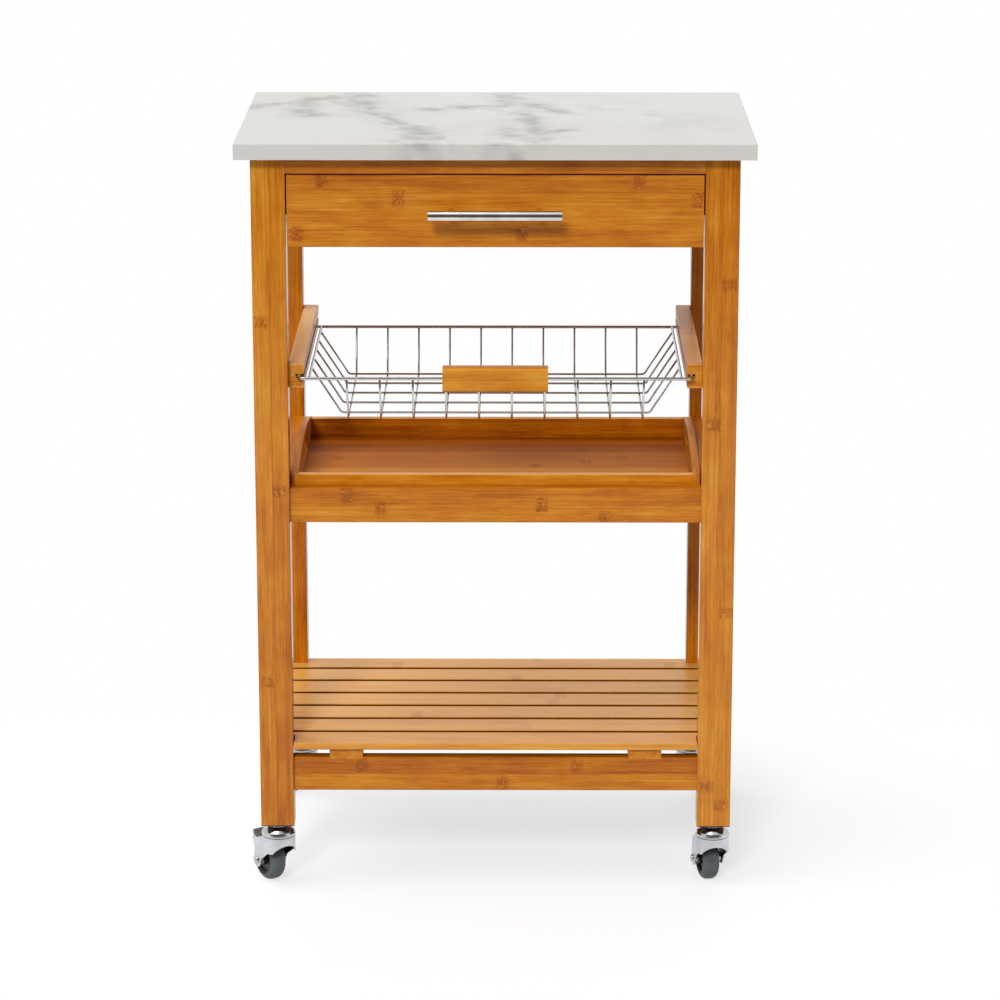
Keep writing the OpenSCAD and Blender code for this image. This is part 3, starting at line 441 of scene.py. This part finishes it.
def stone(name):
    shader = Shader(name)
    x, y, z = shader.split(shader.place)
    rim_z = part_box(name)[1].z
    sheet = shader.join(x, shader.plus(y, shader.minus(z, rim_z)), 0.0)
    drift = shader.add("ShaderNodeTexNoise")
    shader.feed(drift.inputs["Vector"], sheet)
    drift.inputs["Scale"].default_value = 26.0
    drift.inputs["Detail"].default_value = 6.0
    drift.inputs["Roughness"].default_value = 0.62
    shift = shader.vector("SUBTRACT", drift.outputs["Color"], (0.5, 0.5, 0.5))
    wander = shader.vector("MULTIPLY_ADD", shift, (VEIN_WANDER, VEIN_WANDER, 0.0), sheet)

    def from_line(start, end):
        """The distance from the straight line between two corners of a vein."""
        start, end = Vector((*start, 0)) * MM, Vector((*end, 0)) * MM
        way = end - start
        from_start = shader.vector("SUBTRACT", wander, start)
        along = shader.vector("DOT_PRODUCT", from_start, way / way.length_squared)
        share = shader.math("MULTIPLY", along, 1.0, clamp=True)
        foot = shader.vector("MULTIPLY_ADD", shader.join(share, share, share), way, start)
        return shader.vector("DISTANCE", wander, foot)

    def from_veins(veins):
        nearest = 1.0
        for vein in veins:
            for start, end in zip(vein, vein[1:]):
                nearest = shader.math("MINIMUM", nearest, from_line(start, end))
        return nearest

    nearest = from_veins(VEINS)
    faint = shader.ease(from_veins(FAINT_VEINS), 0.0, SMUDGE_REACH, FAINT_GREY, 0.0)
    width = shader.times(shader.minus(shader.noise(sheet, 38.0, 4.0, 0.6), 0.50), VEIN_WIDTH)
    line = shader.ease(shader.minus(nearest, width), 0.0, VEIN_SOFT, 1.0, 0.0)
    cloud = shader.ease(shader.noise(sheet, 30.0, 4.0, 0.6), 0.40, 0.65)
    smudge = shader.times(shader.ease(nearest, 0.0, SMUDGE_REACH, 1.0, 0.0), shader.times(cloud, SMUDGE_GREY))
    haze = shader.ease(shader.noise(sheet, 7.0, 3.0), 0.5, 0.8, 0.0, HAZE_GREY)
    grey = shader.math("MAXIMUM", shader.plus(shader.times(line, LINE_GREY), smudge), haze)
    grey = shader.math("MAXIMUM", grey, shader.times(faint, cloud))
    grey = shader.times(grey, shader.ease(z, rim_z - 3 * MM, rim_z - 1 * MM, RIM_GREY, 1.0))
    base = shader.mix(shader.ease(shader.noise(sheet, 3.0, 2.0), 0.35, 0.65), STONE, STONE_WARM)
    speck = shader.noise(shader.place, 900.0, 2.0)
    shader.set(
        Base_Color=shader.mix(grey, base, STONE_VEIN),
        Roughness=shader.plus(0.30, shader.times(speck, 0.10)),
    )
    shader.bump(speck, 0.02 * MM, 0.4)
    return shader.material


# Metals, hub and tyre

# Painted shade inside the forks, where light doesn't reach within the skirt and between the cheeks
FORK_INSIDE_SHADE = srgb(38, 34, 32)
# How dark a metal's dull patches are next to its colour
DULL = 0.86
SKIRT_INNER = 17.5 * MM
CHEEK_INNER = 16.4 * MM
# The place of each caster's swivel axis, in mm, and the heading of its fork from X, in degrees
CASTERS = {
    "front_left": (-249, -144, 123), "front_right": (249, -144, 101),
    "rear_left": (-239, 162, 148), "rear_right": (239, 162, 30),
}


def inside_fork(shader, place, axis_x, axis_y, heading):
    """Where the fork's painted shade goes: 1 within a fork's skirt and between its cheeks, and 0 outside."""
    x = shader.plus(place[0], -axis_x * MM)
    y = shader.plus(place[1], -axis_y * MM)
    cos, sin = math.cos(math.radians(heading)), math.sin(math.radians(heading))
    ahead = shader.plus(shader.times(x, cos), shader.times(y, sin))
    side = shader.math("ABSOLUTE", shader.minus(shader.times(y, cos), shader.times(x, sin)))
    reach = shader.vector("DISTANCE", shader.join(x, y, 0.0), (0, 0, 0))
    in_skirt = shader.ease(reach, SKIRT_INNER - 0.2 * MM, SKIRT_INNER, 1.0, 0.0)
    behind = shader.ease(ahead, 0.0, 1 * MM)
    in_cheeks = shader.times(shader.ease(side, CHEEK_INNER - 0.2 * MM, CHEEK_INNER, 1.0, 0.0), behind)
    return shader.math("MAXIMUM", in_skirt, in_cheeks)


def metal(name, colour, roughness, grain=(900.0, 900.0, 900.0), spread=0.12, depth=0.01 * MM, fork=None):
    """Bare or plated metal. grain holds the fine marks' scale along X, Y and Z, uneven for a brushed finish,
    and spread how much they change the roughness. fork is a caster's entry, for a fork with painted shade
    inside."""
    shader = Shader(name)
    place = shader.split(shader.place)
    marks = shader.noise(shader.join(*(shader.times(p, g) for p, g in zip(place, grain))), 1.0, 3.0)
    soft = shader.noise(shader.place, 60.0, 2.0)
    dull = tuple(channel * DULL for channel in colour[:3]) + (1.0,)
    skin = shader.mix(shader.ease(soft, 0.35, 0.65), colour, dull)
    # Painted shade inside the fork's skirt and between its cheeks
    if fork:
        skin = shader.mix(inside_fork(shader, place, *fork), skin, FORK_INSIDE_SHADE)
    shader.set(
        Base_Color=skin,
        Metallic=1.0,
        Roughness=shader.plus(roughness - spread / 2, shader.times(marks, spread)),
    )
    shader.bump(marks, depth, 0.5)
    return shader.material


def moulded(name, colour, worn, roughness, scale, depth):
    """Moulded plastic or rubber: a fine skin, slightly lighter where it is worn."""
    shader = Shader(name)
    skin = shader.noise(shader.place, scale, 3.0)
    patches = shader.noise(shader.place, 45.0, 3.0)
    shader.set(
        Base_Color=shader.mix(shader.ease(patches, 0.35, 0.75), colour, worn),
        Roughness=shader.plus(roughness - 0.05, shader.times(skin, 0.1)),
    )
    shader.bump(skin, depth, 0.5)
    return shader.material


# Boards by their axes: grain, face's width, thickness
BOARDS = {
    "zxy": ("front_leg_left", "front_leg_right", "rear_leg_left", "rear_leg_right"),
    "xzy": ("top_front_rail", "rear_apron", "mid_front_rail", "mid_rear_rail", "low_front_rail",
            "low_rear_rail", "drawer_face", "drawer_back", "basket_grip", "tray_end_walls"),
    "yzx": ("side_apron_left", "side_apron_right", "mid_side_rail_left", "mid_side_rail_right",
            "wood_cleats", "drawer_strip_left", "drawer_strip_right", "drawer_side_left",
            "drawer_side_right", "tray_side_left", "tray_side_right"),
    "yxz": ("basket_runner_left", "basket_runner_right", "shelf_battens", "drawer_bottom"),
    "xyz": ("tray_floor",),
}


def dress(names, material):
    """Gives nodes of the frame one material."""
    for name in names:
        piece = nodes[name]
        piece.data.materials.clear()
        piece.data.materials.append(material)


def dress_boards():
    for axes, names in BOARDS.items():
        for name in names:
            dress([name], bamboo(name, *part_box(name), axes))
    gap_share = SLAT_GAP / SLAT_PITCH
    slats = bamboo("shelf_slats", *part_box("shelf_slats"), "xyz", strip=SLAT_PITCH / 2, start=gap_share)
    dress(["shelf_slats"], slats)
    dress(["dowels"], bamboo("dowels", *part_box("dowels"), "yxz"))


def dress_metal_and_plastic():
    """Dresses all but the boards and gives back the chrome, which the basket's wires take too."""
    chrome = metal("chrome", srgb(212, 213, 215), 0.16, spread=0.06)
    steel = metal("steel", srgb(200, 202, 206), 0.30)
    satin = metal("handle", srgb(226, 221, 214), 0.17, grain=(40.0, 2600.0, 2600.0), depth=0.0005 * MM)
    pedal = metal("pedal", srgb(228, 230, 233), 0.55, spread=0.16, depth=0.02 * MM)
    hub = moulded("hub", srgb(40, 27, 27), srgb(54, 42, 41), 0.45, 1500.0, 0.02 * MM)
    tyre = moulded("tyre", srgb(76, 83, 87), srgb(90, 97, 100), 0.55, 1900.0, 0.03 * MM)
    dress(["worktop"], stone("worktop"))
    dress(["basket_rim", "caster_cups"], chrome)
    dress(["bar_handle"], satin)
    dress(["rail_bolts", "barrel_nuts", "wood_screws", "drawer_screws"], steel)
    dress(["brake_pedal_front_left", "brake_pedal_rear_right"], pedal)
    for corner, place in CASTERS.items():
        fork = metal("fork_" + corner, srgb(214, 217, 222), 0.34, spread=0.16, depth=0.02 * MM, fork=place)
        dress(["fork_" + corner], fork)
        dress(["axle_" + corner], steel)
        dress(["hub_" + corner], hub)
        dress(["tyre_" + corner], tyre)
    return chrome


# Basket wires: each bent from one rod, so its corners are round

WIRE = 2.4 * MM
RIM_TO_SIDE_WIRE = 13 * MM
CROSS_WIRES = 10
LONG_WIRES = 5
# How far the basket's walls slope in on their way down
FRONT_SLOPE = 33 * MM
REAR_SLOPE = 17 * MM
SIDE_SLOPE = 33 * MM
BEND = 6 * MM
WIRE_SIDES = 14
BEND_STEPS = 7


def rounded(corners, radius):
    """The path through the corners, with each inner corner made an arc of the radius."""
    path = [corners[0]]
    for before, corner, after in zip(corners, corners[1:], corners[2:]):
        back = (before - corner).normalized()
        ahead = (after - corner).normalized()
        half = back.angle(ahead) / 2
        middle = corner + (back + ahead).normalized() * (radius / math.sin(half))
        start = corner + back * (radius / math.tan(half)) - middle
        end = corner + ahead * (radius / math.tan(half)) - middle
        hinge = start.cross(end).normalized()
        for i in range(BEND_STEPS + 1):
            path.append(middle + Matrix.Rotation(start.angle(end) * i / BEND_STEPS, 3, hinge) @ start)
    return path + [corners[-1]]


def tube(path, radius, square, faces, points):
    """Adds a round rod along a flat path to the lists. square is the direction square to the path's plane."""
    first = len(points)
    for i, point in enumerate(path):
        way = (path[min(i + 1, len(path) - 1)] - path[max(i - 1, 0)]).normalized()
        side = square.cross(way)
        for k in range(WIRE_SIDES):
            angle = 2 * math.pi * k / WIRE_SIDES
            points.append(point + (square * math.cos(angle) + side * math.sin(angle)) * radius)
    for i in range(len(path) - 1):
        for k in range(WIRE_SIDES):
            low = first + i * WIRE_SIDES
            after = (k + 1) % WIRE_SIDES
            faces.append((low + k, low + k + WIRE_SIDES, low + after + WIRE_SIDES, low + after))
    last = len(points) - WIRE_SIDES
    faces.append(tuple(range(first, first + WIRE_SIDES)))
    faces.append(tuple(reversed(range(last, last + WIRE_SIDES))))


def piece_from(name, points, faces, material, body):
    """A smooth piece that rides on a body."""
    mesh = bpy.data.meshes.new(name)
    mesh.from_pydata(points, [], faces)
    mesh.validate()
    for polygon in mesh.polygons:
        polygon.use_smooth = len(polygon.vertices) == 4
    mesh.materials.append(material)
    piece = bpy.data.objects.new(name, mesh)
    bpy.context.scene.collection.objects.link(piece)
    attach(piece, body)
    return piece


def bend_rods(profiles, square, chrome, name, node):
    """Makes one piece of round rods bent along the profiles, in place of a node's straight ones."""
    points, faces = [], []
    for profile in profiles:
        tube(rounded([Vector(corner) for corner in profile], BEND), WIRE / 2, square, faces, points)
    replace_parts(piece_from(name, points, faces, chrome, "basket"), node)


def basket_wires(chrome):
    rim_low, rim_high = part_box("basket_rim")
    rim_z = (rim_low.z + rim_high.z) / 2
    rim_wire = rim_high.z - rim_low.z

    low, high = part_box("basket_cross_wires")
    floor_z = low.z + WIRE / 2
    front, rear = rim_low.y + rim_wire / 2, rim_high.y - rim_wire / 2
    floor_front, floor_rear = front + FRONT_SLOPE, rear - REAR_SLOPE
    corners = ((front, rim_z), (floor_front, floor_z), (floor_rear, floor_z), (rear, rim_z))
    edge_x = high.x - WIRE / 2
    profiles = []
    for i in range(CROSS_WIRES):
        x = edge_x * (2 * i / (CROSS_WIRES - 1) - 1)
        profiles.append([(x, y, z) for y, z in corners])
    bend_rods(profiles, Vector((1, 0, 0)), chrome, "basket_cross_rods", "basket_cross_wires")

    low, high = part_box("basket_long_wires")
    floor_z = low.z + WIRE / 2
    first_y, last_y = low.y + WIRE / 2, high.y - WIRE / 2
    reach = rim_high.x - rim_wire / 2 - RIM_TO_SIDE_WIRE
    floor_x = reach - SIDE_SLOPE
    corners = ((-reach, rim_z), (-floor_x, floor_z), (floor_x, floor_z), (reach, rim_z))
    profiles = []
    for i in range(LONG_WIRES):
        y = first_y + (last_y - first_y) * i / (LONG_WIRES - 1)
        profiles.append([(x, y, z) for x, z in corners])
    bend_rods(profiles, Vector((0, 1, 0)), chrome, "basket_long_rods", "basket_long_wires")


# Studio: a white floor that keeps the shadow, a white surround and three soft suns. Cameras and reflections
# see the floor and the surround as white, and the cart gets only their plain light

FLOOR_HALF = 14.0
# The floor as it is seen: how much of the light and the shadow it shows, and how much it glows
FLOOR_SHADE = 0.34
FLOOR_GLOW = 0.67
# How much light the floor throws back on the cart
FLOOR_BOUNCE = 0.48
# Behind the cart the shadow fades between these places on Y, as on a backdrop with its own lamps
FADE_FROM = 0.10
FADE_TO = 0.50
DARK_FROM = -3.1
DARK_REACH = 9.0
DARK_HEIGHT = 4.0
DARK_GLOW = 0.10
SURROUND_LIGHT = 0.30


def cleared(owner):
    """The empty node tree of a new material or world."""
    owner.use_nodes = True
    owner.node_tree.nodes.clear()
    return owner.node_tree


def directly_seen(tree):
    """1 for rays from the camera and in reflections, and 0 for light on its way to the cart."""
    look = tree.nodes.new("ShaderNodeLightPath")
    seen = tree.nodes.new("ShaderNodeMath")
    seen.operation = "MAXIMUM"
    tree.links.new(look.outputs["Is Camera Ray"], seen.inputs[0])
    tree.links.new(look.outputs["Is Glossy Ray"], seen.inputs[1])
    return seen.outputs[0]


def diffuse(tree, grey):
    node = tree.nodes.new("ShaderNodeBsdfDiffuse")
    node.inputs["Color"].default_value = (grey, grey, grey, 1.0)
    return node.outputs[0]


def glow(tree, strength):
    node = tree.nodes.new("ShaderNodeEmission")
    node.inputs["Strength"].default_value = strength
    return node.outputs[0]


def mixed(tree, share, a, b):
    node = tree.nodes.new("ShaderNodeMixShader")
    for socket, value in zip(node.inputs, (share, a, b)):
        tree.links.new(value, socket)
    return node.outputs[0]


def finish_tree(tree, kind, surface):
    output = tree.nodes.new(kind)
    tree.links.new(surface, output.inputs["Surface"])


def stage_sheet(name, corners, material):
    """A flat sheet that belongs to the studio."""
    mesh = bpy.data.meshes.new(name)
    mesh.from_pydata(corners, [], [(0, 1, 2, 3)])
    mesh.materials.append(material)
    sheet = bpy.data.objects.new(name, mesh)
    bpy.context.scene.collection.objects.link(sheet)
    return sheet


def add_floor():
    material = bpy.data.materials.new("floor")
    tree = cleared(material)
    pale = tree.nodes.new("ShaderNodeAddShader")
    tree.links.new(diffuse(tree, FLOOR_SHADE), pale.inputs[0])
    tree.links.new(glow(tree, FLOOR_GLOW), pale.inputs[1])
    place = tree.nodes.new("ShaderNodeTexCoord")
    parts = tree.nodes.new("ShaderNodeSeparateXYZ")
    tree.links.new(place.outputs["Object"], parts.inputs[0])
    fade = tree.nodes.new("ShaderNodeMapRange")
    fade.interpolation_type = "SMOOTHSTEP"
    tree.links.new(parts.outputs["Y"], fade.inputs["Value"])
    fade.inputs["From Min"].default_value = FADE_FROM
    fade.inputs["From Max"].default_value = FADE_TO
    seen = mixed(tree, fade.outputs[0], pale.outputs[0], glow(tree, 1.0))
    surface = mixed(tree, directly_seen(tree), diffuse(tree, FLOOR_BOUNCE), seen)
    finish_tree(tree, "ShaderNodeOutputMaterial", surface)
    half = FLOOR_HALF
    stage_sheet("floor", [(-half, -half, 0), (half, -half, 0), (half, half, 0), (-half, half, 0)], material)


def add_dark_room():
    """The unlit room before the cart. Only reflections show it, such as the dark line along the handle."""
    material = bpy.data.materials.new("dark_room")
    tree = cleared(material)
    finish_tree(tree, "ShaderNodeOutputMaterial", glow(tree, DARK_GLOW))
    ends = ((-DARK_REACH, 0.0), (DARK_REACH, 0.0), (DARK_REACH, DARK_HEIGHT), (-DARK_REACH, DARK_HEIGHT))
    card = stage_sheet("dark_room", [(x, DARK_FROM, z) for x, z in ends], material)
    card.visible_camera = False
    card.visible_diffuse = False
    card.visible_shadow = False
    card.visible_transmission = False


def add_surround():
    world = bpy.data.worlds.new("surround")
    bpy.context.scene.world = world
    tree = cleared(world)
    level = tree.nodes.new("ShaderNodeMapRange")
    tree.links.new(directly_seen(tree), level.inputs["Value"])
    level.inputs["To Min"].default_value = SURROUND_LIGHT
    level.inputs["To Max"].default_value = 1.0
    background = tree.nodes.new("ShaderNodeBackground")
    tree.links.new(level.outputs[0], background.inputs["Strength"])
    finish_tree(tree, "ShaderNodeOutputWorld", background.outputs[0])


def add_sun(name, left, up, level, width):
    """A distant soft lamp, left degrees to the left of the cart's front and up degrees over the floor.
    level is the light on a surface that faces it, and width the lamp's own angle in degrees."""
    data = bpy.data.lights.new(name, "SUN")
    data.energy = level * math.pi
    data.angle = math.radians(width)
    lamp = bpy.data.objects.new(name, data)
    side, height = math.radians(left), math.radians(up)
    level_way = Vector((-math.sin(side), -math.cos(side), 0.0))
    towards = level_way * math.cos(height) + Vector((0.0, 0.0, math.sin(height)))
    lamp.rotation_euler = (-towards).to_track_quat("-Z", "Y").to_euler()
    bpy.context.scene.collection.objects.link(lamp)
    return lamp


def add_studio():
    bpy.context.scene.view_settings.view_transform = "Standard"
    add_floor()
    add_dark_room()
    add_surround()
    add_sun("key", left=12, up=34, level=0.60, width=14).visible_glossy = False
    add_sun("top", left=70, up=62, level=0.46, width=50)
    add_sun("back", left=180, up=38, level=0.25, width=50).visible_glossy = False


add_camera()
dress_boards()
basket_wires(dress_metal_and_plastic())
add_studio()
